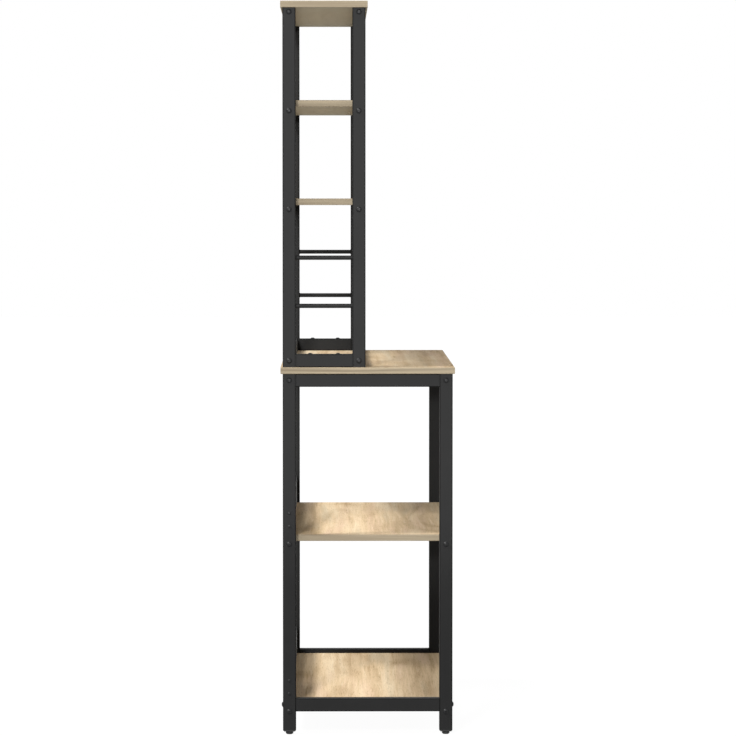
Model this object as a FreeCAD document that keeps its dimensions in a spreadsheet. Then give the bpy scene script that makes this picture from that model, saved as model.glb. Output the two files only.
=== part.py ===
import FreeCAD, Part
import math
import os
import re
import Sketcher

# Kitchen rack: a deep base with three boards, and a half-deep hutch with three boards above its rear.
# Each side frame is welded square tube. Crossbars bolt between the frames and carry the boards.
# Frame of the model: X runs along the rack, the front is at -Y, Z is up from the floor.
# The origin lies on the floor under the middle of the countertop.

# Driving sizes in millimetres
size = {
    # Outer sizes of the steel frame
    "frame_long": 990,
    "frame_deep": 390,
    "hutch_deep": 190,
    "base_post_long": 821,
    "hutch_post_long": 822.5,
    # Square tube of the side frames
    "post_size": 30,
    "post_wall": 1.2,
    "post_round": 2.5,
    # Heights of the bottom rail and the boards
    "leg_reach": 43,
    "shelf_sink": 10,
    "shelf_rise": 386,
    "hutch_pitch": 225.5,
    # Boards
    "board_thick": 15,
    "board_lap": 5,
    "board_ease": 1,
    "board_gap": 1,
    # Crossbars: the same flat tube lies flat under the base shelves and stands on edge in the hutch,
    # and a taller one is under the countertop and at the foot of the hutch
    "bar_broad": 20,
    "bar_narrow": 10,
    "tall_bar_high": 30,
    "bar_wall": 1.2,
    "bar_bevel": 1,
    "end_plate": 3,
    # Round guard rods in the hutch's side frames
    "rod_thick": 10,
    "rod_pitch": 110.5,
    # Folded back guards
    "guard_high": 70,
    "guard_deep": 16,
    "guard_sheet": 1.5,
    "guard_bend": 3,
    "guard_slit": 1,
    "guard_lift": 1,
    "guard_screw_pitch": 30,
    # Levelling feet and the plugs in the legs
    "plug_flange": 3.5,
    "plug_corner": 3,
    "plug_bevel": 2.8,
    "plug_deep": 18,
    "plug_wall": 2,
    "plug_fit": 0.2,
    "plug_rib": 2,
    "plug_boss": 14,
    "foot_high": 6.7,
    "foot_wide": 17.6,
    "foot_flare": 2.3,
    "foot_ease": 1,
    "foot_clear": 0.3,
    "stud_thick": 8,
    "stud_long": 26,
    "stud_head_wide": 13,
    "stud_head_high": 4,
    "thread_clear": 0.05,
    # Bolts through the posts into the crossbars and the bottom rails
    "bolt_thick": 6,
    "bolt_long": 38,
    "bolt_head_wide": 12.5,
    "bolt_crown_wide": 7.5,
    "bolt_head_high": 3,
    # Small screws through the rear posts into the back guards
    "guard_screw_thick": 4,
    "guard_screw_long": 36,
    "guard_screw_head_wide": 7.5,
    "guard_screw_crown_wide": 5,
    "guard_screw_head_high": 1.6,
    # Screws through the hutch's bottom rails into the countertop
    "hutch_screw_thick": 5,
    "hutch_screw_long": 40,
    "hutch_screw_head_wide": 11,
    "hutch_screw_crown_wide": 7,
    "hutch_screw_head_high": 2.5,
    "hutch_screw_pitch": 64,
    # Clearances
    "hole_clear": 0.25,
    "overrun": 5,
}

doc = FreeCAD.newDocument("KitchenRack")
sheet = doc.addObject("Spreadsheet::Sheet", "Sizes")
for row, (word, number) in enumerate(size.items(), 1):
    sheet.set(f"A{row}", word)
    sheet.set(f"B{row}", str(number))
    sheet.setAlias(f"B{row}", word)
doc.recompute()

# Heights above the floor, each the underside of what it names
leg_end = "(foot_high + foot_clear + plug_flange)"
bottom_rail = f"({leg_end} + leg_reach)"
bottom_shelf = f"({bottom_rail} + post_size - shelf_sink - board_thick)"
middle_shelf = f"({bottom_shelf} + shelf_rise)"
countertop = f"({leg_end} + base_post_long)"
worktop = f"({countertop} + board_thick)"
top_board = f"({worktop} + hutch_post_long)"
upper_shelf = f"({top_board} - hutch_pitch)"
lower_shelf = f"({upper_shelf} - hutch_pitch)"

# Centre lines of the posts, and the clear space between the side frames
side_x = "(frame_long / 2 - post_size / 2)"
rear_y = "(frame_deep / 2 - post_size / 2)"
base_front_y = f"(-{rear_y})"
hutch_front_y = f"({rear_y} - hutch_deep + post_size)"
hutch_mid_y = f"(({rear_y} + {hutch_front_y}) / 2)"
clear_span = "(frame_long - 2 * post_size)"

sides = {"left": "-1", "right": "1"}
base_rows = {"front": base_front_y, "rear": rear_y}
hutch_rows = {"front": hutch_front_y, "rear": rear_y}

# Crossbar levels: centre height, the bar's depth and height, and the rows of posts that it joins
flat_bar = ("bar_broad", "bar_narrow")
edge_bar = ("bar_narrow", "bar_broad")
tall_bar = ("bar_broad", "tall_bar_high")
bar_levels = {
    "base_top": (f"({countertop} - tall_bar_high / 2)", tall_bar, base_rows),
    "base_middle": (f"({middle_shelf} - bar_narrow / 2)", flat_bar, base_rows),
    "base_bottom": (f"({bottom_shelf} - bar_narrow / 2)", flat_bar, base_rows),
    "hutch_bottom": (f"({worktop} + tall_bar_high / 2)", tall_bar, hutch_rows),
    "hutch_lower": (f"({lower_shelf} - bar_broad / 2)", edge_bar, hutch_rows),
    "hutch_upper": (f"({upper_shelf} - bar_broad / 2)", edge_bar, hutch_rows),
    "hutch_top": (f"({top_board} - bar_broad / 2)", edge_bar, hutch_rows),
}
base_levels = [level for level in bar_levels if level.startswith("base")]
hutch_levels = [level for level in bar_levels if level.startswith("hutch")]

# Middle heights of the back guards, by the shelf that they stand over
guard_levels = {
    shelf: f"({under} + board_thick + guard_lift + guard_high / 2)"
    for shelf, under in (("bottom", bottom_shelf), ("middle", middle_shelf))
}
guard_holes = ("-guard_screw_pitch / 2", "guard_screw_pitch / 2")

nodes = []


# A formula in the sheet's words, written the way an expression reads the sheet
def tied(formula):
    return re.sub(r"[a-z][a-z_]*", lambda word: f"Sizes.{word.group()}", formula)


def bind(thing, **formulas):
    for name, formula in formulas.items():
        thing.setExpression(name, tied(formula))


def bind_place(thing, place, base="Placement.Base"):
    for axis, formula in zip("xyz", place):
        thing.setExpression(f"{base}.{axis}", tied(formula))


def new_body(label, place, kept=True):
    body = doc.addObject("PartDesign::Body", label)
    body.Label = label
    bind_place(body, place)
    if kept:
        nodes.append(body)
    return body


def origin_plane(body, role):
    planes = [feature for feature in body.Origin.OriginFeatures if feature.Role == role]
    return planes[0]


def attach(feature, body, role, offset=("0", "0", "0")):
    feature.AttachmentSupport = [(origin_plane(body, role), "")]
    feature.MapMode = "FlatFace"
    bind_place(feature, offset, "AttachmentOffset.Base")


# Corners of a rectangle about the sketch's origin
def rectangle(wide, high):
    u = f"({wide}) / 2"
    v = f"({high}) / 2"
    return [(f"-{u}", f"-{v}"), (u, f"-{v}"), (u, v), (f"-{u}", v)]


# Corners of a regular ring with its first corner on the sketch's first axis
def ring(sides, across):
    turns = [2 * math.pi * step / sides for step in range(sides)]
    half_shares = [(round(math.cos(turn) / 2, 6), round(math.sin(turn) / 2, 6)) for turn in turns]
    return [(f"{u_share} * {across}", f"{v_share} * {across}") for u_share, v_share in half_shares]


# A sketch of closed straight-sided loops, every corner held by its two distances from the origin
def section(body, name, role, loops, lift="0"):
    sketch = body.newObject("Sketcher::SketchObject", name)
    attach(sketch, body, role, ("0", "0", lift))
    for corners in loops:
        first = sketch.GeometryCount
        count = len(corners)
        for step in range(count):
            here = FreeCAD.Vector(step, step * step, 0)
            there = FreeCAD.Vector(step + 1, (step + 1) ** 2, 0)
            sketch.addGeometry(Part.LineSegment(here, there), False)
        for step in range(count):
            after = first + (step + 1) % count
            sketch.addConstraint(Sketcher.Constraint("Coincident", first + step, 2, after, 1))
        for step, corner in enumerate(corners):
            for kind, formula in zip(("DistanceX", "DistanceY"), corner):
                held = sketch.addConstraint(Sketcher.Constraint(kind, -1, 1, first + step, 1, step))
                sketch.setExpression(f"Constraints[{held}]", tied(formula))
    return sketch


def pad(body, name, sketch, length, side="Symmetric"):
    feature = body.newObject("PartDesign::Pad", name)
    feature.Profile = sketch
    feature.SideType = side
    bind(feature, Length=length)
    doc.recompute()
    return feature


# The edges of a feature that run along one axis, those farthest from its middle line first
def edges_along(feature, axis):
    middle = feature.Shape.BoundBox.Center
    found = []
    for number, edge in enumerate(feature.Shape.Edges, 1):
        start = edge.Vertexes[0].Point
        run = edge.Vertexes[-1].Point - start
        if run.Length > 0 and abs(run.dot(axis)) > run.Length * 0.999:
            off = start - middle
            off = off - axis * off.dot(axis)
            found.append((-round(off.Length, 4), number))
    return [f"Edge{number}" for off, number in sorted(found)]


# The faces of a feature that look one way
def faces_towards(feature, way):
    found = []
    for number, face in enumerate(feature.Shape.Faces, 1):
        if face.Surface.TypeId == "Part::GeomPlane" and face.normalAt(0, 0).dot(way) > 0.999:
            found.append(f"Face{number}")
    return found


def dress(body, kind, name, base, picks, **formulas):
    feature = body.newObject(f"PartDesign::{kind}", name)
    feature.Base = (base, picks)
    bind(feature, **formulas)
    doc.recompute()
    return feature


# A round piece up the body's Z, with as many sides as it needs, ruled between rings of given widths
def turned(body, name, sides, rings):
    outlines = []
    for step, (height, across) in enumerate(rings, 1):
        loop = ring(sides, across)
        outlines.append(section(body, f"{name}_ring_{step}", "XY_Plane", [loop], height))
    doc.recompute()
    loft = body.newObject("PartDesign::AdditiveLoft", name)
    loft.Profile = outlines[0]
    loft.Sections = outlines[1:]
    loft.Ruled = True
    doc.recompute()
    return loft


# A six-sided hole for a shank, square to an origin plane and centred on it. Shanks are six-sided too:
# they are hidden and repeat often, so they keep to flat faces.
def shank_hole(body, name, role, across, reach, u, v):
    hole = body.newObject("PartDesign::SubtractivePrism", name)
    attach(hole, body, role, (u, v, f"-({reach}) / 2"))
    hole.Polygon = 6
    bind(hole, Circumradius=f"{across} / 2 + hole_clear", Height=reach)


# A box taken from a body or added to it, centred on its place
def block(body, kind, name, extent, place=("0", "0", "0")):
    feature = body.newObject(f"PartDesign::{kind}Box", name)
    bind(feature, Length=extent[0], Width=extent[1], Height=extent[2])
    corner = [f"({middle}) - ({reach}) / 2" for middle, reach in zip(place, extent)]
    attach(feature, body, "XY_Plane", corner)


along_x = FreeCAD.Vector(1, 0, 0)
along_y = FreeCAD.Vector(0, 1, 0)
along_z = FreeCAD.Vector(0, 0, 1)
section_planes = {"X": ("YZ_Plane", along_x), "Y": ("XZ_Plane", along_y), "Z": ("XY_Plane", along_z)}


# An open square tube with rounded outer corners, centred on its place
def post_tube(label, way, length, place):
    role, axis = section_planes[way]
    body = new_body(label, place)
    bore = "post_size - 2 * post_wall"
    loops = [rectangle("post_size", "post_size"), rectangle(bore, bore)]
    wall = pad(body, f"{label}_wall", section(body, f"{label}_section", role, loops), length)
    dress(body, "Fillet", f"{label}_corners", wall, edges_along(wall, axis)[:4], Radius="post_round")
    return body


# Base posts: bolt holes at three levels, and one through the front and back for the bottom rail
base_post_mid = f"({leg_end} + base_post_long / 2)"
through_post = "post_size + overrun"
for side, way in sides.items():
    for row, y in base_rows.items():
        label = f"{side}_base_{row}_post"
        body = post_tube(label, "Z", "base_post_long", (f"{way} * {side_x}", y, base_post_mid))
        for level in base_levels:
            rise = f"{bar_levels[level][0]} - {base_post_mid}"
            shank_hole(body, f"{label}_{level}_hole", "YZ_Plane", "bolt_thick", through_post, "0", rise)
        rise = f"{bottom_rail} + post_size / 2 - {base_post_mid}"
        shank_hole(body, f"{label}_rail_hole", "XZ_Plane", "bolt_thick", through_post, "0", rise)
        if row == "rear":
            for shelf, middle in guard_levels.items():
                for step, off in enumerate(guard_holes, 1):
                    rise = f"{middle} + {off} - {base_post_mid}"
                    name = f"{label}_{shelf}_guard_hole_{step}"
                    shank_hole(body, name, "YZ_Plane", "guard_screw_thick", through_post, "0", rise)

# Hutch posts: bolt holes at four levels
hutch_post_mid = f"({worktop} + hutch_post_long / 2)"
for side, way in sides.items():
    for row, y in hutch_rows.items():
        label = f"{side}_hutch_{row}_post"
        body = post_tube(label, "Z", "hutch_post_long", (f"{way} * {side_x}", y, hutch_post_mid))
        for level in hutch_levels:
            rise = f"{bar_levels[level][0]} - {hutch_post_mid}"
            shank_hole(body, f"{label}_{level}_hole", "YZ_Plane", "bolt_thick", through_post, "0", rise)

# Side rails, butted between the posts
base_rail_long = "frame_deep - 2 * post_size"
hutch_rail_long = "hutch_deep - 2 * post_size"
for side, way in sides.items():
    x = f"{way} * {side_x}"
    post_tube(f"{side}_base_top_rail", "Y", base_rail_long, (x, "0", f"{countertop} - post_size / 2"))

    # The bottom rail has welded end plates that take the bolts through the posts
    label = f"{side}_base_bottom_rail"
    body = new_body(label, (x, "0", f"{bottom_rail} + post_size / 2"))
    outline = section(body, f"{label}_section", "XZ_Plane", [rectangle("post_size", "post_size")])
    bar = pad(body, f"{label}_bar", outline, base_rail_long)
    dress(body, "Fillet", f"{label}_corners", bar, edges_along(bar, along_y)[:4], Radius="post_round")
    bore = "post_size - 2 * post_wall"
    block(body, "Subtractive", f"{label}_bore", (bore, f"{base_rail_long} - 2 * end_plate", bore))
    shank_hole(body, f"{label}_holes", "XZ_Plane", "bolt_thick", f"{base_rail_long} + overrun", "0", "0")

    # The hutch's bottom rail stands on the countertop and is screwed down into it
    label = f"{side}_hutch_bottom_rail"
    body = post_tube(label, "Y", hutch_rail_long, (x, hutch_mid_y, f"{worktop} + post_size / 2"))
    for step, off in enumerate(("-hutch_screw_pitch / 2", "hutch_screw_pitch / 2"), 1):
        name = f"{label}_screw_hole_{step}"
        shank_hole(body, name, "XY_Plane", "hutch_screw_thick", through_post, "0", off)

# Guard rods, welded between the hutch's posts
for side, way in sides.items():
    for count, level in enumerate(("lower", "upper"), 1):
        label = f"{side}_{level}_guard_rod"
        height = f"{worktop} + post_size + {count} * rod_pitch"
        body = new_body(label, (f"{way} * {side_x}", hutch_mid_y, height))
        rod = body.newObject("PartDesign::AdditiveCylinder", f"{label}_bar")
        attach(rod, body, "XZ_Plane", ("0", "0", f"-({hutch_rail_long}) / 2"))
        bind(rod, Radius="rod_thick / 2", Height=hutch_rail_long)

# Crossbars: closed at both ends by welded plates with the holes for the bolts
for level, (height, (bar_deep, bar_high), rows) in bar_levels.items():
    for row, y in rows.items():
        label = f"{level}_{row}_crossbar"
        body = new_body(label, ("0", y, height))
        outline = section(body, f"{label}_section", "YZ_Plane", [rectangle(bar_deep, bar_high)])
        bar = pad(body, f"{label}_bar", outline, clear_span)
        dress(body, "Chamfer", f"{label}_corners", bar, edges_along(bar, along_x)[:4], Size="bar_bevel")
        across = (f"{bar_deep} - 2 * bar_wall", f"{bar_high} - 2 * bar_wall")
        block(body, "Subtractive", f"{label}_bore", (f"{clear_span} - 2 * end_plate", *across))
        shank_hole(body, f"{label}_holes", "YZ_Plane", "bolt_thick", f"{clear_span} + overrun", "0", "0")


# A laminated board with eased edges, its underside at the height given
def board(label, long, deep, y, under):
    body = new_body(label, ("0", y, under))
    outline = section(body, f"{label}_outline", "XY_Plane", [rectangle(long, deep)])
    slab = pad(body, f"{label}_slab", outline, "board_thick", "One side")
    picks = faces_towards(slab, along_z) + faces_towards(slab, -along_z)
    dress(body, "Chamfer", f"{label}_edges", slab, picks, Size="board_ease")
    return body


lapped_long = "frame_long + 2 * board_lap"
fitted_long = f"{clear_span} - 2 * board_gap"
board("bottom_shelf", fitted_long, "frame_deep", "0", bottom_shelf)
board("middle_shelf", fitted_long, "frame_deep", "0", middle_shelf)
board("hutch_lower_shelf", fitted_long, "hutch_deep", hutch_mid_y, lower_shelf)
board("hutch_upper_shelf", fitted_long, "hutch_deep", hutch_mid_y, upper_shelf)
board("top_board", lapped_long, "hutch_deep + 2 * board_lap", hutch_mid_y, top_board)

# The countertop has blind pilot holes for the screws that hold the hutch
body = board("countertop", lapped_long, "frame_deep + 2 * board_lap", "0", countertop)
pilot_deep = "(hutch_screw_long - post_size)"
for side, way in sides.items():
    for step, off in enumerate(("-hutch_screw_pitch / 2", "hutch_screw_pitch / 2"), 1):
        pilot = body.newObject("PartDesign::SubtractivePrism", f"{side}_pilot_hole_{step}")
        place = (f"{way} * {side_x}", f"{hutch_mid_y} + {off}", f"board_thick - {pilot_deep} - hole_clear")
        attach(pilot, body, "XY_Plane", place)
        pilot.Polygon = 6
        bind(pilot, Circumradius="hutch_screw_thick / 2 + hole_clear", Height=f"{pilot_deep} + overrun")

# Back guards: sheet folded into a tray that opens to the rear. The front edges are bent round, the
# corners are slit so that each flange folds by itself, and the end flanges are screwed to the posts.
flange_deep = "(guard_deep - guard_bend)"
slit = "(guard_bend + guard_slit)"
for shelf, middle in guard_levels.items():
    label = f"{shelf}_back_guard"
    body = new_body(label, ("0", rear_y, middle))
    outline = section(body, f"{label}_outline", "YZ_Plane", [rectangle("guard_deep", "guard_high")])
    blank = pad(body, f"{label}_blank", outline, clear_span)
    front = faces_towards(blank, -along_y)
    bent = dress(body, "Fillet", f"{label}_bends", blank, front, Radius="guard_bend")
    back = faces_towards(bent, along_y)
    dress(body, "Thickness", f"{label}_sheet", bent, back, Value="guard_sheet").Reversed = True
    for end, way in sides.items():
        for edge, rise in (("low", "-1"), ("high", "1")):
            place = (f"{way} * {clear_span} / 2", "guard_bend / 2", f"{rise} * guard_high / 2")
            extent = (f"2 * {slit}", f"{flange_deep}", f"2 * {slit}")
            block(body, "Subtractive", f"{label}_{end}_{edge}_slit", extent, place)
    for step, off in enumerate(guard_holes, 1):
        name = f"{label}_hole_{step}"
        shank_hole(body, name, "YZ_Plane", "guard_screw_thick", f"{clear_span} + overrun", "0", off)

# Levelling feet: a round pad with a six-sided socket that holds the head of a threaded stud
for side, way in sides.items():
    for row, y in base_rows.items():
        label = f"{side}_{row}_foot"
        body = new_body(f"{label}_pad", (f"{way} * {side_x}", y, "0"))
        puck = body.newObject("PartDesign::AdditivePrism", f"{label}_puck")
        attach(puck, body, "XY_Plane")
        puck.Polygon = 20
        bind(puck, Circumradius="foot_wide / 2", Height="foot_high")
        doc.recompute()
        picks = faces_towards(puck, -along_z)
        puck = dress(body, "Chamfer", f"{label}_flare", puck, picks, Size="foot_flare")
        dress(body, "Chamfer", f"{label}_ease", puck, faces_towards(puck, along_z), Size="foot_ease")
        socket = body.newObject("PartDesign::SubtractivePrism", f"{label}_socket")
        attach(socket, body, "XY_Plane", ("0", "0", "foot_high - stud_head_high"))
        socket.Polygon = 6
        bind(socket, Circumradius="stud_head_wide / 2 + thread_clear", Height="stud_head_high + overrun")

        body = new_body(f"{label}_stud", (f"{way} * {side_x}", y, "foot_high - stud_head_high"))
        head = body.newObject("PartDesign::AdditivePrism", f"{label}_stud_head")
        attach(head, body, "XY_Plane")
        head.Polygon = 6
        bind(head, Circumradius="stud_head_wide / 2", Height="stud_head_high")
        rod = body.newObject("PartDesign::AdditiveCylinder", f"{label}_rod")
        attach(rod, body, "XY_Plane")
        bind(rod, Radius="stud_thick / 2", Height="stud_head_high + stud_long")

# One leg plug at the origin: a bevelled flange under the tube, and a ribbed cup with a threaded
# boss inside it
plug_outer = "(post_size - 2 * post_wall - 2 * plug_fit)"
plug_inner = f"({plug_outer} - 2 * plug_wall)"
leg_plug = new_body("leg_plug", ("0", "0", "0"), kept=False)
outline = section(leg_plug, "plug_outline", "XY_Plane", [rectangle("post_size", "post_size")])
flange = pad(leg_plug, "plug_flange_pad", outline, "plug_flange", "One side")
flange.Reversed = True
doc.recompute()
flange = dress(leg_plug, "Chamfer", "plug_corners", flange, edges_along(flange, along_z), Size="plug_corner")
dress(leg_plug, "Chamfer", "plug_under_bevel", flange, faces_towards(flange, -along_z), Size="plug_bevel")
loops = [rectangle(plug_outer, plug_outer), rectangle(plug_inner, plug_inner)]
outline = section(leg_plug, "plug_cup_section", "XY_Plane", loops)
pad(leg_plug, "plug_cup", outline, "plug_deep", "One side")
plug_mid = ("0", "0", "plug_deep / 2")
block(leg_plug, "Additive", "plug_boss_block", ("plug_boss", "plug_boss", "plug_deep"), plug_mid)
block(leg_plug, "Additive", "plug_long_rib", (plug_inner, "plug_rib", "plug_deep"), plug_mid)
block(leg_plug, "Additive", "plug_cross_rib", ("plug_rib", plug_inner, "plug_deep"), plug_mid)
thread = leg_plug.newObject("PartDesign::SubtractiveCylinder", "plug_thread")
attach(thread, leg_plug, "XY_Plane", ("0", "0", "-plug_flange - overrun"))
bind(thread, Radius="stud_thick / 2 + thread_clear", Height="plug_flange + plug_deep + 2 * overrun")


# One fastener at the origin, its shank up Z and its head below
def fastener(name):
    body = new_body(name, ("0", "0", "0"), kept=False)
    turned(body, f"{name}_head", 12, [(f"-{name}_head_high", f"{name}_crown_wide"), ("0", f"{name}_head_wide")])
    shank = body.newObject("PartDesign::AdditivePrism", f"{name}_shank")
    attach(shank, body, "XY_Plane")
    shank.Polygon = 6
    bind(shank, Circumradius=f"{name}_thick / 2", Height=f"{name}_long")
    return body


# A group of copies of one piece: each has a place, the way of the piece's Z and the way of its X
def copy_group(label, pattern, places):
    copies = []
    for step, (place, up_way, side_way) in enumerate(places, 1):
        copy = doc.addObject("App::Link", f"{label}_{step}")
        copy.LinkedObject = pattern
        turn = FreeCAD.Rotation(side_way, FreeCAD.Vector(), up_way, "ZXY")
        copy.Placement = FreeCAD.Placement(FreeCAD.Vector(), turn)
        bind_place(copy, place)
        copies.append(copy)
    group = doc.addObject("Part::Compound", label)
    group.Label = label
    group.Links = copies
    nodes.append(group)


places = []
for way in sides.values():
    for y in base_rows.values():
        places.append(((f"{way} * {side_x}", y, leg_end), along_z, along_x))
copy_group("leg_plugs", leg_plug, places)

bolt = fastener("bolt")
guard_screw = fastener("guard_screw")
hutch_screw = fastener("hutch_screw")

outer_x = "(frame_long / 2)"
outer_y = "(frame_deep / 2)"
for side, way in sides.items():
    inwards = along_x if side == "left" else -along_x
    x = f"{way} * {outer_x}"
    places = []
    for height, bar_section, rows in bar_levels.values():
        for y in rows.values():
            places.append(((x, y, height), inwards, along_y))
    copy_group(f"{side}_crossbar_bolts", bolt, places)

places = []
for side, way in sides.items():
    for ahead, inwards in (("-1", along_y), ("1", -along_y)):
        place = (f"{way} * {side_x}", f"{ahead} * {outer_y}", f"{bottom_rail} + post_size / 2")
        places.append((place, inwards, along_x))
copy_group("bottom_rail_bolts", bolt, places)

places = []
for side, way in sides.items():
    inwards = along_x if side == "left" else -along_x
    for middle in guard_levels.values():
        for off in guard_holes:
            places.append(((f"{way} * {outer_x}", rear_y, f"{middle} + {off}"), inwards, along_y))
copy_group("back_guard_screws", guard_screw, places)

places = []
for side, way in sides.items():
    for off in ("-hutch_screw_pitch / 2", "hutch_screw_pitch / 2"):
        place = (f"{way} * {side_x}", f"{hutch_mid_y} + {off}", f"{worktop} + post_size")
        places.append((place, -along_z, along_x))
copy_group("hutch_screws", hutch_screw, places)

doc.recompute()

# Every object has to be sound, and every cut has to have taken something away
for thing in doc.Objects:
    if "Invalid" in thing.State or "Error" in thing.State:
        raise RuntimeError(f"{thing.Name} failed: {thing.State}")
    if thing.TypeId.startswith("PartDesign::Subtractive"):
        if thing.Shape.Volume >= thing.BaseFeature.Shape.Volume:
            raise RuntimeError(f"{thing.Name} cuts nothing")
for node in nodes:
    if node.Shape.isNull() or not node.Shape.isValid() or not node.Shape.Solids:
        raise RuntimeError(f"{node.Label} has no sound solid")

os.makedirs("parts", exist_ok=True)
for node in nodes:
    node.Shape.exportStep(f"parts/{node.Label}.step")
print(f"{len(nodes)} nodes, {sum(len(node.Shape.Solids) for node in nodes)} solids")
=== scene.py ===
import math

import bpy
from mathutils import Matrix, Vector


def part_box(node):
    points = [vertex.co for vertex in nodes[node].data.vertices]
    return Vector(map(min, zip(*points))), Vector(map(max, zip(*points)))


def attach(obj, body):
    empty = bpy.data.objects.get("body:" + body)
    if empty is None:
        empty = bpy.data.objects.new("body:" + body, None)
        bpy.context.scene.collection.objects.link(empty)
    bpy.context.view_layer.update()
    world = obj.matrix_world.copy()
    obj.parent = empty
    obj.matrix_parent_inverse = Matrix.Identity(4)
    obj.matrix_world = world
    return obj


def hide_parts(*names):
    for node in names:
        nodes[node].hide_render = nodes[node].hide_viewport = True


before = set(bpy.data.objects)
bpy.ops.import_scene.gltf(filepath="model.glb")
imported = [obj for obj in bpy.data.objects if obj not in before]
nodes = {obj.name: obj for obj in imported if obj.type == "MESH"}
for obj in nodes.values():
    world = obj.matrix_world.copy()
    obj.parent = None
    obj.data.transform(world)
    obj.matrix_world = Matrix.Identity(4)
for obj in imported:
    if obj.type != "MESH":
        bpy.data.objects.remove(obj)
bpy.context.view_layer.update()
sides = {"left": -1, "right": 1}
quarter = math.pi / 2
overrun = 0.001  # how far a cutter stands out of what it cuts
shadeAngle = 32  # faces that meet at less than this are shaded as one
white, black = (1, 1, 1, 1), (0, 0, 0, 1)
print("frame loaded:", len(nodes), "nodes")


# Small helpers for working as by hand

def only(*chosen):  # these objects selected, the first one active
    bpy.ops.object.select_all(action="DESELECT")
    for piece in chosen:
        piece.select_set(True)
    bpy.context.view_layer.objects.active = chosen[0]


def applyPlace(piece):
    only(piece)
    bpy.ops.object.transform_apply(location=True, rotation=True, scale=True)
    return piece


def middle(node):
    low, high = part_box(node)
    return (low + high) / 2


def turned(name, count, rings):  # a round form along Z, extruded from ring to ring of (height, radius)
    (height, radius), *others = rings
    bpy.ops.object.select_all(action="DESELECT")
    bpy.ops.mesh.primitive_circle_add(vertices=count, radius=radius, fill_type="NGON",
                                      location=(0, 0, height))
    piece = bpy.context.object
    piece.name = name
    bpy.ops.object.mode_set(mode="EDIT")
    bpy.ops.mesh.select_all(action="SELECT")
    for nextHeight, nextRadius in others:
        bpy.ops.mesh.extrude_region_move(TRANSFORM_OT_translate={"value": (0, 0, nextHeight - height)})
        bpy.ops.transform.resize(value=(nextRadius / radius, nextRadius / radius, 1))
        height, radius = nextHeight, nextRadius
    bpy.ops.mesh.select_all(action="SELECT")
    bpy.ops.mesh.normals_make_consistent(inside=False)
    bpy.ops.object.mode_set(mode="OBJECT")
    return applyPlace(piece)


def cut(piece, cutter):  # takes the cutter's shape out of the piece
    only(piece)
    recess = piece.modifiers.new("recess", "BOOLEAN")
    recess.object = cutter
    bpy.ops.object.modifier_apply(modifier=recess.name)
    bpy.data.objects.remove(cutter)


def sixSided(radius, bottom, top):  # the cutter of a six-sided socket
    bpy.ops.object.select_all(action="DESELECT")
    bpy.ops.mesh.primitive_cylinder_add(
        vertices=6, radius=radius, depth=top - bottom, location=(0, 0, (top + bottom) / 2))
    return bpy.context.object


def bar(extent, height):  # the cutter of one arm of a cross recess
    bpy.ops.object.select_all(action="DESELECT")
    bpy.ops.mesh.primitive_cube_add(size=1, scale=extent, location=(0, 0, height))
    return applyPlace(bpy.context.object)


def copies(pattern, name, places):  # copies of one pattern at each (place, turn), joined into one piece
    made = []
    for place, turn in places:
        only(pattern)
        bpy.ops.object.duplicate()
        copy = bpy.context.object
        copy.rotation_euler = turn
        copy.location = place
        made.append(copy)
    only(*made)
    bpy.ops.object.transform_apply(location=True, rotation=True, scale=True)
    if len(made) > 1:
        bpy.ops.object.join()
    made[0].name = name
    return made[0]


def fit(piece, finish, body, slot, *replaced):  # gives a new piece its finish and body, and hides the parts it replaces
    piece.data.materials.clear()
    piece.data.materials.append(finish)
    only(piece)
    bpy.ops.object.shade_smooth_by_angle(angle=math.radians(shadeAngle))
    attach(piece, body)
    if replaced:
        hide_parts(*replaced)


# Shader maths: a wire is a socket that can be used in sums

class Wire:
    def __init__(self, surface, socket):
        self.surface = surface
        self.socket = socket

    def sums(self, operation, first, second):
        return self.surface.node("ShaderNodeMath", {"operation": operation}, {0: first, 1: second})

    def __add__(self, other):
        return self.sums("ADD", self, other)

    def __radd__(self, other):
        return self.sums("ADD", other, self)

    def __sub__(self, other):
        return self.sums("SUBTRACT", self, other)

    def __rsub__(self, other):
        return self.sums("SUBTRACT", other, self)

    def __mul__(self, other):
        return self.sums("MULTIPLY", self, other)

    def __rmul__(self, other):
        return self.sums("MULTIPLY", other, self)

    def __pow__(self, other):
        return self.sums("POWER", self, other)


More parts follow.
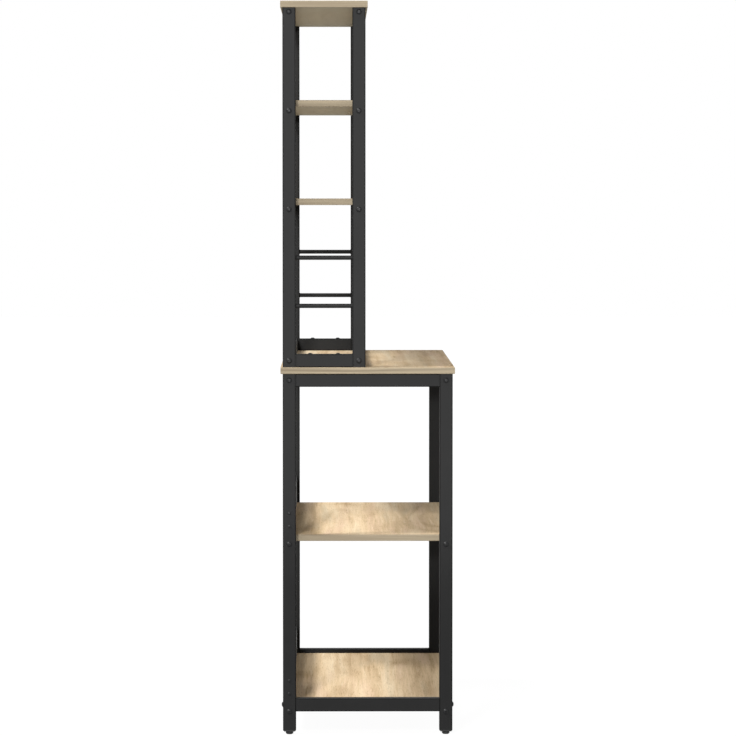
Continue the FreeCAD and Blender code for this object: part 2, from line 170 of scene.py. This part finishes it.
class Surface:
    def __init__(self, name):
        self.material = bpy.data.materials.new(name)
        self.material.use_nodes = True
        self.tree = self.material.node_tree
        self.shader = self.tree.nodes["Principled BSDF"]

    def node(self, kind, settings, inputs, output=0):
        made = self.tree.nodes.new(kind)
        for key, value in settings.items():
            if key == "stops":
                ramp = made.color_ramp
                while len(ramp.elements) < len(value):
                    ramp.elements.new(1)
                for element, (position, color) in zip(ramp.elements, value):
                    element.position = position
                    element.color = (*color, 1)
            else:
                setattr(made, key, value)
        self.feed(made.inputs, inputs)
        return Wire(self, made.outputs[output])

    def feed(self, sockets, values):
        for key, value in values.items():
            if isinstance(value, Wire):
                self.tree.links.new(value.socket, sockets[key])
            else:
                sockets[key].default_value = value

    def split(self, vector):
        first = self.node("ShaderNodeSeparateXYZ", {}, {0: vector})
        return [Wire(self, socket) for socket in first.socket.node.outputs]

    def combined(self, x, y, z):
        return self.node("ShaderNodeCombineXYZ", {}, {0: x, 1: y, 2: z})

    def point(self):
        return self.node("ShaderNodeTexCoord", {}, {}, "Object")

    def normal(self):
        return self.node("ShaderNodeNewGeometry", {}, {}, "Normal")

    def noise(self, vector, scale, detail, rough=0.5):
        return self.node("ShaderNodeTexNoise", {},
                         {"Vector": vector, "Scale": scale, "Detail": detail, "Roughness": rough})

    def larger(self, first, second):
        return self.node("ShaderNodeMath", {"operation": "MAXIMUM"}, {0: first, 1: second})

    def between(self, value, low, high):  # 0 at low, 1 at high, eased
        return self.node("ShaderNodeMapRange", {"interpolation_type": "SMOOTHSTEP"},
                         {0: value, 1: low, 2: high})

    def ramp(self, value, *stops):  # a colour that follows the value through stops of (place, colour)
        return self.node("ShaderNodeValToRGB", {"stops": stops}, {0: value})

    def blend(self, mask, first, second):
        return self.node("ShaderNodeMix", {"data_type": "RGBA"}, {0: mask, 6: first, 7: second}, 2)

    def bump(self, height, strength, distance):
        return self.node("ShaderNodeBump", {},
                         {"Height": height, "Strength": strength, "Distance": distance})

    def facing(self):  # how squarely a face looks along X, Y and Z, each from 0 to 1
        return self.split(self.node("ShaderNodeVectorMath", {"operation": "ABSOLUTE"}, {0: self.normal()}))

    def flatness(self):  # 1 on a face square to an axis, less on a rounded or bevelled corner
        x, y, z = self.facing()
        return self.larger(self.larger(x, y), z)

    def finish(self, **values):
        names = {"color": "Base Color", "rough": "Roughness", "metal": "Metallic", "normal": "Normal",
                 "shine": "Specular IOR Level"}
        self.feed(self.shader.inputs, {names[key]: value for key, value in values.items()})
        return self.material


def rgb(code):  # a colour written as on a screen, as the shader's own numbers
    parts = [int(code[place:place + 2], 16) / 255 for place in (0, 2, 4)]
    return [part / 12.92 if part < 0.04045 else ((part + 0.055) / 1.055) ** 2.4 for part in parts]


def rgba(code):
    return (*rgb(code), 1)


# In the finishes below, a pattern's numbers are its scale, its detail and sometimes its roughness, and
# limits are where it starts to count and where it counts in full
noiseMiddle = 0.5  # a noise runs from 0 to 1 around this

# Black powder coat: fine orange peel, soft clouds, and painted shade on the tubes' rounded corners: a darker
# colour laid there in uneven patches, with duller paint
coat = {"color": "202020", "dust": "242424", "corner": "111111",
        "cloud": (7, 4, 0.6), "peel": (700, 2), "grit": (2600, 1), "patches": (60, 3),
        "cloudLimits": (0.35, 0.75), "patchLimits": (0.42, 0.68), "cornerShadeLimits": (0.9995, 0.97),
        "patchShare": 0.25, "peelShare": 0.7, "rough": 0.48, "cloudRough": 0.14, "gritRough": 0.06,
        "cornerRough": 0.2, "shine": 0.1, "bump": 0.22, "bumpDeep": 0.0004}


def powderCoat(name, withCornerShade):
    surface = Surface(name)
    point = surface.point()
    cloud = surface.noise(point, *coat["cloud"])
    peel = surface.noise(point, *coat["peel"])
    grit = surface.noise(point, *coat["grit"])
    dusty = surface.between(cloud, *coat["cloudLimits"])
    color = surface.blend(dusty, rgba(coat["color"]), rgba(coat["dust"]))
    rough = coat["rough"] + cloud * coat["cloudRough"] + grit * coat["gritRough"]
    # painted shade: the rounded corners are darkened in uneven patches, and their paint is made rougher
    if withCornerShade:
        corner = surface.between(surface.flatness(), *coat["cornerShadeLimits"])
        patches = surface.between(surface.noise(point, *coat["patches"]), *coat["patchLimits"])
        cornerShade = corner * (1 - coat["patchShare"] + coat["patchShare"] * patches)
        color = surface.blend(cornerShade, color, rgba(coat["corner"]))
        rough = rough + coat["cornerRough"] * corner
    height = peel * coat["peelShare"] + grit * (1 - coat["peelShare"])
    return surface.finish(color=color, rough=rough, shine=coat["shine"],
                          normal=surface.bump(height, coat["bump"], coat["bumpDeep"]))


paintedTube = powderCoat("blackPowderCoat", True)
paintedRod = powderCoat("blackPowderCoatRound", False)

# Light oak laminate: streaks along the grain, growth rings cut into long arches, fine hairs and dark pores,
# and painted shade on the undersides
oak = {"light": "e3d0b1", "middle": "d7bf9c", "dark": "bba280", "pink": "d6ba9f", "grey": "b8aa90",
       "ring": "987d57", "pore": "86704f", "bandLight": "a6977f", "band": "8b806d", "bandDark": "746857",
       "under": "989586", "corner": "8a7b66", "endShift": 0.3, "rough": 0.72, "poreRough": 0.16,
       "cloudRough": 0.1, "shine": 0.05, "bump": 0.22, "bumpDeep": 0.0004, "ringHigh": 0.2,
       "fineHigh": 0.35, "poreDeep": 0.8}

# Each pattern of streaks: its scale along the grain and across it, its detail and its roughness
grain = {"wander": (1.2, 4.5, 2, 0.55), "ripple": (6, 38, 3, 0.55), "broad": (0.8, 30, 4, 0.6),
         "fine": (1.8, 110, 4, 0.65), "cloud": (2.4, 8, 3, 0.55), "arches": (0.75, 4.6, 1, 0.55),
         "hue": (1.3, 18, 2, 0.55), "marks": (3.4, 120, 3, 0.7), "glints": (3.8, 105, 3, 0.6),
         "knots": (3.2, 11, 2, 0.4), "hairs": (6, 540, 3, 0.7), "pores": (26, 800, 2, 0.6),
         "lines": (2.2, 210, 3, 0.6)}
bends = {"wander": 0.03, "ripple": 0.004}  # how far the grain leaves the straight, in metres
mixed = {"broad": 0.56, "fine": 0.26, "cloud": 0.18, "lines": 0.6}  # shares in the tone, lines in a band's
growth = {"count": 70, "ripple": 2.2, "fine": 1.2, "sharp": 2.2}  # growth rings: what moves and thins them
poreShare = 0.5  # how much of a pore is lost off the rings
toneStops = {"face": (0.37, 0.49, 0.62), "band": (0.33, 0.49, 0.66)}  # where the tones lie on a ramp
limits = {"marks": (0.57, 0.67), "marksBroad": (0.42, 0.58), "glints": (0.42, 0.32), "knots": (0.68, 0.82),
          "rings": (0.3, 0.62), "pink": (0.5, 0.72), "grey": (0.46, 0.3), "hairs": (0.48, 0.66),
          "pores": (0.57, 0.66), "end": (0.8, 0.9), "face": (0.8, 0.95), "flat": (0.75, 0.97),
          "under": (-0.9, -0.95)}

# How strongly each shows over the wood's tone
shows = {"pink": 0.6, "grey": 0.6, "glints": 0.5, "rings": 0.36, "marks": 0.45, "knots": 0.2,
         "hairs": 0.34, "pores": 0.7, "under": 0.8, "corner": 0.5}


def oakBoard(name, shift, tone, paleEdge=0):
    surface = Surface(name)
    place = surface.node("ShaderNodeMapping", {}, {"Vector": surface.point(), "Location": shift})
    x, y, z = surface.split(place)
    towards = surface.facing()
    onEnd = surface.between(towards[0], *limits["end"])  # the end faces' band runs along Y
    along = x * (1 - onEnd) + y * onEnd
    straight = (y + z) * (1 - onEnd) + (z + x * oak["endShift"]) * onEnd

    def streaks(kind, across):
        alongScale, acrossScale, detail, rough = grain[kind]
        stretched = surface.combined(along * alongScale, across * acrossScale, shift[0])
        return surface.noise(stretched, 1, detail, rough)

    def tones(kind, value, *keys):  # a ramp through the named tones
        return surface.ramp(value, *zip(toneStops[kind], [rgb(oak[key]) for key in keys]))

    def over(kind, mask, color, key):  # the named tone laid over the colour where the mask is
        return surface.blend(mask * shows[kind], color, rgba(oak[key]))

    wander = streaks("wander", straight) - noiseMiddle
    ripple = streaks("ripple", straight) - noiseMiddle
    bent = straight + bends["wander"] * wander + bends["ripple"] * ripple
    broad, fine, cloud, hue, arches = (
        streaks(kind, bent) for kind in ("broad", "fine", "cloud", "hue", "arches"))
    marks, glints, knots, hairs, pores = (
        surface.between(streaks(kind, bent), *limits[kind])
        for kind in ("marks", "glints", "knots", "hairs", "pores"))
    wave = surface.node("ShaderNodeMath", {"operation": "SINE"}, {
        0: arches * growth["count"] + growth["ripple"] * ripple + growth["fine"] * fine})
    rings = (0.5 + 0.5 * wave) ** growth["sharp"] * surface.between(cloud, *limits["rings"])
    marks = marks * surface.between(broad, *limits["marksBroad"])
    pores = pores * (1 - poreShare + poreShare * rings)

    depth = mixed["broad"] * broad + mixed["fine"] * fine + mixed["cloud"] * cloud
    color = tones("face", depth, "light", "middle", "dark")
    color = over("pink", surface.between(hue, *limits["pink"]), color, "pink")
    color = over("grey", surface.between(hue, *limits["grey"]), color, "grey")
    color = over("glints", glints, color, "light")
    veins = rings * shows["rings"] + marks * shows["marks"] + knots * shows["knots"]
    color = surface.blend(veins, color, rgba(oak["ring"]))
    color = over("hairs", hairs, color, "dark")
    color = over("pores", pores, color, "pore")

    # The edges have a plainer, darker band; the underside gets painted shade, a darker, greyer, plainer
    # colour
    lines = mixed["lines"] * streaks("lines", bent) + (1 - mixed["lines"]) * depth
    band = surface.blend(paleEdge, tones("band", lines, "bandLight", "band", "bandDark"), rgba(oak["light"]))
    onFace = surface.between(towards[2], *limits["face"])
    color = surface.blend(onFace, band, surface.blend(1 - tone, color, black))
    # painted shade: the faces that look down take a darker, greyer, plainer colour
    paintedShadeBelow = surface.between(surface.split(surface.normal())[2], *limits["under"])
    color = over("under", paintedShadeBelow, color, "under")
    color = over("corner", 1 - surface.between(surface.flatness(), *limits["flat"]), color, "corner")
    rough = oak["rough"] + oak["poreRough"] * pores + oak["cloudRough"] * cloud
    height = rings * oak["ringHigh"] + fine * oak["fineHigh"] - pores * oak["poreDeep"]
    return surface.finish(color=color, rough=rough, shine=oak["shine"],
                          normal=surface.bump(height, oak["bump"], oak["bumpDeep"]))


# Each board is cut from another part of the pattern, and some are darker
boards = {
    "bottom_shelf": {"shift": (0.31, 0.07, 0.4), "tone": 0.98},
    "middle_shelf": {"shift": (1.2, 0.17, 0.2), "tone": 0.97, "paleEdge": 0.07},
    "countertop": {"shift": (3.1, 0.09, 0.6), "tone": 0.87},
    "top_board": {"shift": (7.9, 0.16, 0.3), "tone": 0.87, "paleEdge": 0.03},
    "hutch_lower_shelf": {"shift": (4.6, 0.19, 0.1), "tone": 0.96},
    "hutch_upper_shelf": {"shift": (6.2, 0.05, 0.8), "tone": 0.94}}

# Fasteners, plastic and plated steel
dark = {"color": "0f0f10", "light": "1b1b1c", "cloud": (260, 3), "grit": (3200, 1), "rub": (900, 2),
        "rubLimits": (0.5, 0.75), "rubShare": 0.5, "rough": 0.4, "cloudRough": 0.12, "shine": 0.26,
        "bump": 0.1, "bumpDeep": 0.0002}
plastic = {"color": "151515", "dust": "202020", "cloud": (90, 3), "grit": (2400, 2),
           "cloudLimits": (0.4, 0.8), "rough": 0.5, "gritRough": 0.14, "bump": 0.25, "bumpDeep": 0.0003}
zinc = {"color": "b9bbbf", "dull": "94969a", "cloud": (320, 3), "brushed": (1, 2), "across": 300, "up": 4000,
        "cloudLimits": (0.4, 0.7), "rough": 0.28, "brushRough": 0.18, "bump": 0.12, "bumpDeep": 0.0002}


def blackenedSteel():
    surface = Surface("blackenedSteel")
    point = surface.point()
    cloud = surface.noise(point, *dark["cloud"])
    grit = surface.noise(point, *dark["grit"])
    rub = surface.between(surface.noise(point, *dark["rub"]), *dark["rubLimits"])
    color = surface.blend(rub * dark["rubShare"], rgba(dark["color"]), rgba(dark["light"]))
    return surface.finish(color=color, rough=dark["rough"] + dark["cloudRough"] * cloud, shine=dark["shine"],
                          normal=surface.bump(grit, dark["bump"], dark["bumpDeep"]))


def mouldedPlastic():
    surface = Surface("mouldedPlastic")
    point = surface.point()
    cloud = surface.between(surface.noise(point, *plastic["cloud"]), *plastic["cloudLimits"])
    grit = surface.noise(point, *plastic["grit"])
    color = surface.blend(cloud, rgba(plastic["color"]), rgba(plastic["dust"]))
    return surface.finish(color=color, rough=plastic["rough"] + plastic["gritRough"] * grit,
                          normal=surface.bump(grit, plastic["bump"], plastic["bumpDeep"]))


def platedSteel():
    surface = Surface("platedSteel")
    point = surface.point()
    x, y, z = surface.split(point)
    stretched = surface.combined(x * zinc["across"], y * zinc["across"], z * zinc["up"])
    brushed = surface.noise(stretched, *zinc["brushed"])
    cloud = surface.between(surface.noise(point, *zinc["cloud"]), *zinc["cloudLimits"])
    color = surface.blend(cloud, rgba(zinc["color"]), rgba(zinc["dull"]))
    return surface.finish(color=color, metal=1.0, rough=zinc["rough"] + zinc["brushRough"] * brushed,
                          normal=surface.bump(brushed, zinc["bump"], zinc["bumpDeep"]))


boltBlack = blackenedSteel()
footBlack = mouldedPlastic()
studZinc = platedSteel()
print("materials made")

# Every CAD node gets its finish, also those that rounder pieces replace further down
for name, node in nodes.items():
    if name in boards:
        finish = oakBoard("oak_" + name, **boards[name])
    elif name.endswith("guard_rod"):
        finish = paintedRod
    elif name == "leg_plugs":
        finish = footBlack
    else:
        finish = paintedTube
    node.data.materials.clear()
    node.data.materials.append(finish)
print("finishes given to the frame")


domeBend = 0.5  # 0 makes a head a plain cone, more arches it


def domeRings(spec):  # the rings of a fastener with its shank up Z and its domed head below
    shank, head = spec["shankWide"] / 2, spec["headWide"] / 2
    rings = [(spec["shankLong"], shank), (0, shank), (0, head), (-spec["rim"], head)]
    for step in range(1, spec["steps"] + 1):
        share = step / spec["steps"]
        radius = (spec["headWide"] * (1 - share) + spec["crown"] * share) / 2
        rise = share * (1 + domeBend - domeBend * share)
        rings.append((-spec["rim"] - (spec["headHigh"] - spec["rim"]) * rise, radius))
    return rings


# Button heads with a six-sided socket, its radius taken over the corners
bolt = {"headWide": 0.0125, "headHigh": 0.003, "rim": 0.0004, "crown": 0.0056, "steps": 6, "sides": 36,
        "socket": 0.0024, "socketDeep": 0.0024, "shankWide": 0.006, "shankLong": 0.036}
boltPattern = turned("boltPattern", bolt["sides"], domeRings(bolt))
boltTop = -bolt["headHigh"]
cut(boltPattern, sixSided(bolt["socket"], boltTop - overrun, boltTop + bolt["socketDeep"]))

# Pan heads with a cross recess, for the small screws and the hutch's screws
panHeads = {
    "guardScrew": {"headWide": 0.0075, "headHigh": 0.0016, "rim": 0.0004, "crown": 0.0036, "steps": 4,
                   "sides": 28, "slot": (0.0036, 0.0008), "slotDeep": 0.0009, "shankWide": 0.004,
                   "shankLong": 0.034, "apart": 0.030},
    "hutchScrew": {"headWide": 0.011, "headHigh": 0.0025, "rim": 0.0006, "crown": 0.005, "steps": 5,
                   "sides": 32, "slot": (0.0052, 0.0011), "slotDeep": 0.0013, "shankWide": 0.005,
                   "shankLong": 0.039, "apart": 0.064}}
panPatterns = {}
for name, spec in panHeads.items():
    pattern = turned(name + "Pattern", spec["sides"], domeRings(spec))
    long, wide = spec["slot"]
    for extent in ((long, wide, 2 * spec["slotDeep"]), (wide, long, 2 * spec["slotDeep"])):
        cut(pattern, bar(extent, -spec["headHigh"]))
    panPatterns[name] = pattern

inwards = {"left": (0, quarter, 0), "right": (0, -quarter, 0)}  # turns a shank towards the rack
crossbars = sorted(name for name in nodes if name.endswith("crossbar"))
for side, way in sides.items():
    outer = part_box(side + "_base_front_post")[0 if way < 0 else 1].x
    places = [((outer, middle(name).y, middle(name).z), inwards[side]) for name in crossbars]
    piece = copies(boltPattern, side + "CrossbarBolts", places)
    fit(piece, boltBlack, "rack", "bolt_steel", side + "_crossbar_bolts")

places = []
for side in sides:
    rail = middle(side + "_base_bottom_rail")
    for row, turn in (("front", -quarter), ("rear", quarter)):
        low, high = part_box(f"{side}_base_{row}_post")
        places.append(((rail.x, low.y if row == "front" else high.y, rail.z), (turn, 0, 0)))
fit(copies(boltPattern, "bottomRailBolts", places), boltBlack, "rack", "bolt_steel", "bottom_rail_bolts")

# Two screws at each end of a back guard
places = []
fromMiddle = panHeads["guardScrew"]["apart"] / 2
for side, way in sides.items():
    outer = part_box(side + "_base_rear_post")[0 if way < 0 else 1].x
    for guard in ("bottom_back_guard", "middle_back_guard"):
        for rise in (-fromMiddle, fromMiddle):
            places.append(((outer, middle(guard).y, middle(guard).z + rise), inwards[side]))
piece = copies(panPatterns["guardScrew"], "backGuardScrews", places)
fit(piece, boltBlack, "rack", "bolt_steel", "back_guard_screws")

# Two screws in each bottom rail of the hutch
places = []
fromMiddle = panHeads["hutchScrew"]["apart"] / 2
for side in sides:
    rail = side + "_hutch_bottom_rail"
    for ahead in (-fromMiddle, fromMiddle):
        places.append(((middle(rail).x, middle(rail).y + ahead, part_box(rail)[1].z), (math.pi, 0, 0)))
piece = copies(panPatterns["hutchScrew"], "hutchScrews", places)
fit(piece, boltBlack, "rack", "bolt_steel", "hutch_screws")
print("bolts and screws placed")

# Levelling feet: a moulded pad and a plated stud with a rolled thread, measured in radii and heights
pad = {"sides": 48, "toe": 0.0065, "toeEase": 0.0004, "toeEaseHigh": 0.0005, "wide": 0.0088,
       "flare": 0.0023, "rim": 0.0008, "groove": 0.0004, "grooveSlope": 0.0003, "grooveHigh": 0.0005,
       "high": 0.0067, "ease": 0.001, "easeTurn": (0.0003, 0.0006), "socket": 0.00655, "socketDeep": 0.004}
stud = {"head": 0.0065, "headHigh": 0.004, "headEase": 0.0004, "headEaseHigh": 0.0003, "sunk": 0.0005,
        "root": 0.0034, "crest": 0.00398, "long": 0.030, "pitch": 0.00125, "profile": 0.5, "bareTurns": 3,
        "sides": 20, "tip": 0.0008}

grooveFoot = pad["flare"] + pad["rim"]
grooveTop = grooveFoot + pad["grooveSlope"] + pad["grooveHigh"]
easeFoot = pad["high"] - pad["ease"]
easeIn, easeUp = pad["easeTurn"]
padPattern = turned("padPattern", pad["sides"], [
    (0, pad["toe"]),
    (pad["toeEaseHigh"], pad["toe"] + pad["toeEase"]),
    (pad["flare"], pad["wide"]),
    (grooveFoot, pad["wide"]),
    (grooveFoot + pad["grooveSlope"], pad["wide"] - pad["groove"]),
    (grooveTop, pad["wide"] - pad["groove"]),
    (grooveTop + pad["grooveSlope"], pad["wide"]),
    (easeFoot, pad["wide"]),
    (easeFoot + easeUp, pad["wide"] - easeIn),
    (pad["high"], pad["wide"] - pad["ease"])])
cut(padPattern, sixSided(pad["socket"], pad["high"] - pad["socketDeep"], pad["high"] + 2 * overrun))

headPattern = turned("headPattern", 6, [
    (0, stud["head"] - stud["headEase"]),
    (stud["headEaseHigh"], stud["head"]),
    (stud["headHigh"] - stud["headEaseHigh"], stud["head"]),
    (stud["headHigh"], stud["head"] - stud["headEase"])])
rodPattern = turned("rodPattern", stud["sides"], [
    (stud["headHigh"] - stud["sunk"], stud["root"]),
    (stud["long"] - stud["tip"], stud["root"]),
    (stud["long"], stud["root"] - stud["tip"])])

# The thread is one closed profile wound up the rod
threadFoot = (stud["root"], 0, stud["headHigh"] + stud["pitch"])
bpy.ops.object.select_all(action="DESELECT")
bpy.ops.mesh.primitive_circle_add(vertices=3, radius=stud["pitch"] * stud["profile"], fill_type="NOTHING",
                                  location=threadFoot, rotation=(quarter, 0, 0))
threadPattern = bpy.context.object
applyPlace(threadPattern)
bpy.ops.object.mode_set(mode="EDIT")
bpy.ops.mesh.select_all(action="SELECT")
bpy.ops.transform.rotate(value=quarter, orient_axis="Y", center_override=threadFoot)
bpy.ops.object.mode_set(mode="OBJECT")
reachOut = max(vertex.co.x for vertex in threadPattern.data.vertices)
threadPattern.location.x = stud["crest"] - reachOut
applyPlace(threadPattern)
wound = threadPattern.modifiers.new("thread", "SCREW")
wound.axis = "Z"
wound.screw_offset = stud["pitch"]
wound.iterations = int((stud["long"] - stud["headHigh"]) / stud["pitch"] - stud["bareTurns"])
wound.steps = wound.render_steps = stud["sides"]
wound.use_merge_vertices = False
bpy.ops.object.modifier_apply(modifier=wound.name)
bpy.ops.object.mode_set(mode="EDIT")
bpy.ops.mesh.select_all(action="SELECT")
bpy.ops.mesh.fill_holes(sides=0)
bpy.ops.mesh.normals_make_consistent(inside=False)
bpy.ops.object.mode_set(mode="OBJECT")
only(headPattern, rodPattern, threadPattern)
bpy.ops.object.join()
studPattern = headPattern

for side in sides:
    for row in ("front", "rear"):
        foot = f"{side}_{row}_foot"
        x, y, z = middle(foot + "_pad")
        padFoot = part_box(foot + "_pad")[0].z
        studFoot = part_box(foot + "_stud")[0].z
        piece = copies(padPattern, foot + "PadRound", [((x, y, padFoot), (0, 0, 0))])
        fit(piece, footBlack, foot, "foot_plastic", foot + "_pad")
        piece = copies(studPattern, foot + "StudThreaded", [((x, y, studFoot), (0, 0, 0))])
        fit(piece, studZinc, foot, "stud_steel", foot + "_stud")
print("feet placed")

# Weld beads where the rails and the rods butt against the posts
weld = {"tube": 0.030, "corner": 0.0025, "cornerSteps": 3, "inset": 0.0011, "bead": 0.0017,
        "beadSteps": 2, "cuts": 7, "rod": 0.005, "rodBead": 0.0011, "rodSides": 28, "rodBeadSides": 8,
        "ripple": 0.00022, "seed": 5}
bpy.ops.object.select_all(action="DESELECT")
bpy.ops.mesh.primitive_plane_add(size=weld["tube"] - 2 * weld["inset"], rotation=(quarter, 0, 0))
railWeld = applyPlace(bpy.context.object)
bpy.ops.object.mode_set(mode="EDIT")
bpy.ops.mesh.select_all(action="SELECT")
bpy.ops.mesh.bevel(offset=weld["corner"], segments=weld["cornerSteps"], affect="VERTICES")
bpy.ops.mesh.delete(type="ONLY_FACE")
bpy.ops.mesh.select_all(action="SELECT")
bpy.ops.mesh.subdivide(number_cuts=weld["cuts"])
bpy.ops.object.mode_set(mode="OBJECT")
only(railWeld)
bpy.ops.object.convert(target="CURVE")
railWeld = bpy.context.object
railWeld.data.bevel_depth = weld["bead"]
railWeld.data.bevel_resolution = weld["beadSteps"]
bpy.ops.object.convert(target="MESH")
railWeld = bpy.context.object

bpy.ops.object.select_all(action="DESELECT")
bpy.ops.mesh.primitive_torus_add(major_radius=weld["rod"], minor_radius=weld["rodBead"],
                                 major_segments=weld["rodSides"], minor_segments=weld["rodBeadSides"],
                                 rotation=(quarter, 0, 0))
rodWeld = applyPlace(bpy.context.object)
for step, pattern in enumerate((railWeld, rodWeld)):
    only(pattern)
    bpy.ops.object.mode_set(mode="EDIT")
    bpy.ops.mesh.select_all(action="SELECT")
    bpy.ops.transform.vertex_random(offset=weld["ripple"], seed=weld["seed"] + step)
    bpy.ops.object.mode_set(mode="OBJECT")

welded = ((railWeld, ("base_top_rail", "hutch_bottom_rail")),
          (rodWeld, ("lower_guard_rod", "upper_guard_rod")))
for side in sides:
    made = []
    for pattern, names in welded:
        places = []
        for name in names:
            low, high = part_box(f"{side}_{name}")
            for y in (low.y, high.y):
                places.append((((low.x + high.x) / 2, y, (low.z + high.z) / 2), (0, 0, 0)))
        made.append(copies(pattern, side + "Welds", places))
    only(*made)
    bpy.ops.object.join()
    fit(made[0], paintedRod, "rack", "frame_steel")
print("welds placed")

for pattern in (boltPattern, padPattern, studPattern, railWeld, rodWeld, *panPatterns.values()):
    bpy.data.objects.remove(pattern)

# Floor, light and camera
studio = {"floorSize": 60, "floorColor": "b4b4b3", "floorRough": 0.9, "floorShine": 0.1, "floorGlow": 0.88,
          "glow": 1.1, "ambient": 0.37}
bpy.ops.object.select_all(action="DESELECT")
bpy.ops.mesh.primitive_plane_add(size=studio["floorSize"], location=(0, 0, 0))
floor = bpy.context.object
floor.name = "floor"


def seenDirectly(surface):  # 1 for what the camera sees, also in a glossy face or through glass
    seen = surface.node("ShaderNodeLightPath", {}, {}, "Is Camera Ray")
    rays = seen.socket.node.outputs
    for name in ("Is Glossy Ray", "Is Transmission Ray"):
        seen = surface.larger(seen, Wire(surface, rays[name]))
    return seen


ground = Surface("paleFloor")
ground.finish(color=rgba(studio["floorColor"]), rough=studio["floorRough"], shine=studio["floorShine"])
glow = ground.node("ShaderNodeEmission", {}, {"Color": white, "Strength": studio["glow"]})
lit = Wire(ground, ground.shader.outputs[0])
share = seenDirectly(ground) * studio["floorGlow"]
both = ground.node("ShaderNodeMixShader", {}, {0: share, 1: lit, 2: glow})
ground.tree.links.new(both.socket, ground.tree.nodes["Material Output"].inputs[0])
floor.data.materials.append(ground.material)


class Sky(Surface):  # the world takes the same shader maths
    def __init__(self, name):
        self.world = bpy.data.worlds.new(name)
        self.world.use_nodes = True
        self.tree = self.world.node_tree


sky = Sky("studioSky")
bpy.context.scene.world = sky.world
room = sky.node("ShaderNodeBackground", {}, {"Color": white, "Strength": studio["ambient"]})
backdrop = sky.node("ShaderNodeBackground", {}, {"Color": white, "Strength": 1})
choice = sky.node("ShaderNodeMixShader", {}, {0: seenDirectly(sky), 1: room, 2: backdrop})
sky.tree.links.new(choice.socket, sky.tree.nodes["World Output"].inputs[0])

# A distant key lamp, a near and a front lamp, and a spot beside the camera whose light ends on the near
# posts at its lowest height, under the middle shelf
lamps = {
    "keyLamp": {"kind": "SUN", "place": (-1.3, 6.0, 8.9), "aim": (0, 0, 0.7), "angle": 15, "power": 3.15},
    "nearLamp": {"kind": "AREA", "place": (-7.0, 1.45, 4.06), "aim": (0, 0, 0.9), "size": 0.9, "power": 410},
    "frontLamp": {"kind": "AREA", "place": (1.2, -3.6, 2.6), "aim": (0, 0, 0.9), "size": 2.4, "power": 27},
    "cameraLamp": {"kind": "SPOT", "place": (-6.5, 0.4, 1.3), "aim": (-0.495, -0.12, 1.42), "lowest": 0.4,
                   "blend": 0.03, "soft": 0.1, "power": 620}}
for name, lamp in lamps.items():
    aim = Vector(lamp["aim"]) - Vector(lamp["place"])
    bpy.ops.object.light_add(type=lamp["kind"], location=lamp["place"],
                             rotation=aim.to_track_quat("-Z", "Y").to_euler())
    made = bpy.context.object
    made.name = name
    made.data.energy = lamp["power"]
    if lamp["kind"] == "SUN":
        made.data.angle = math.radians(lamp["angle"])
    elif lamp["kind"] == "AREA":
        made.data.size = lamp["size"]
    else:
        made.data.spot_size = 2 * math.atan2(lamp["aim"][2] - lamp["lowest"], aim.length)
        made.data.spot_blend = lamp["blend"]
        made.data.shadow_soft_size = lamp["soft"]

# The camera looks along the rack's length, a little down and aside
view = {"place": (-9.182, 0.0749, 1.2341), "down": 2.565, "aside": 0.498, "lens": 185.57, "sensor": 36,
        "farEnd": 100}
bpy.ops.object.camera_add(location=view["place"],
                          rotation=(math.radians(90 - view["down"]), 0, math.radians(-90 - view["aside"])))
camera = bpy.context.object
camera.name = "photoCamera"
camera.data.lens = view["lens"]
camera.data.sensor_width = view["sensor"]
camera.data.clip_end = view["farEnd"]
bpy.context.scene.camera = camera
bpy.context.scene.view_settings.view_transform = "Standard"
print("stage set")
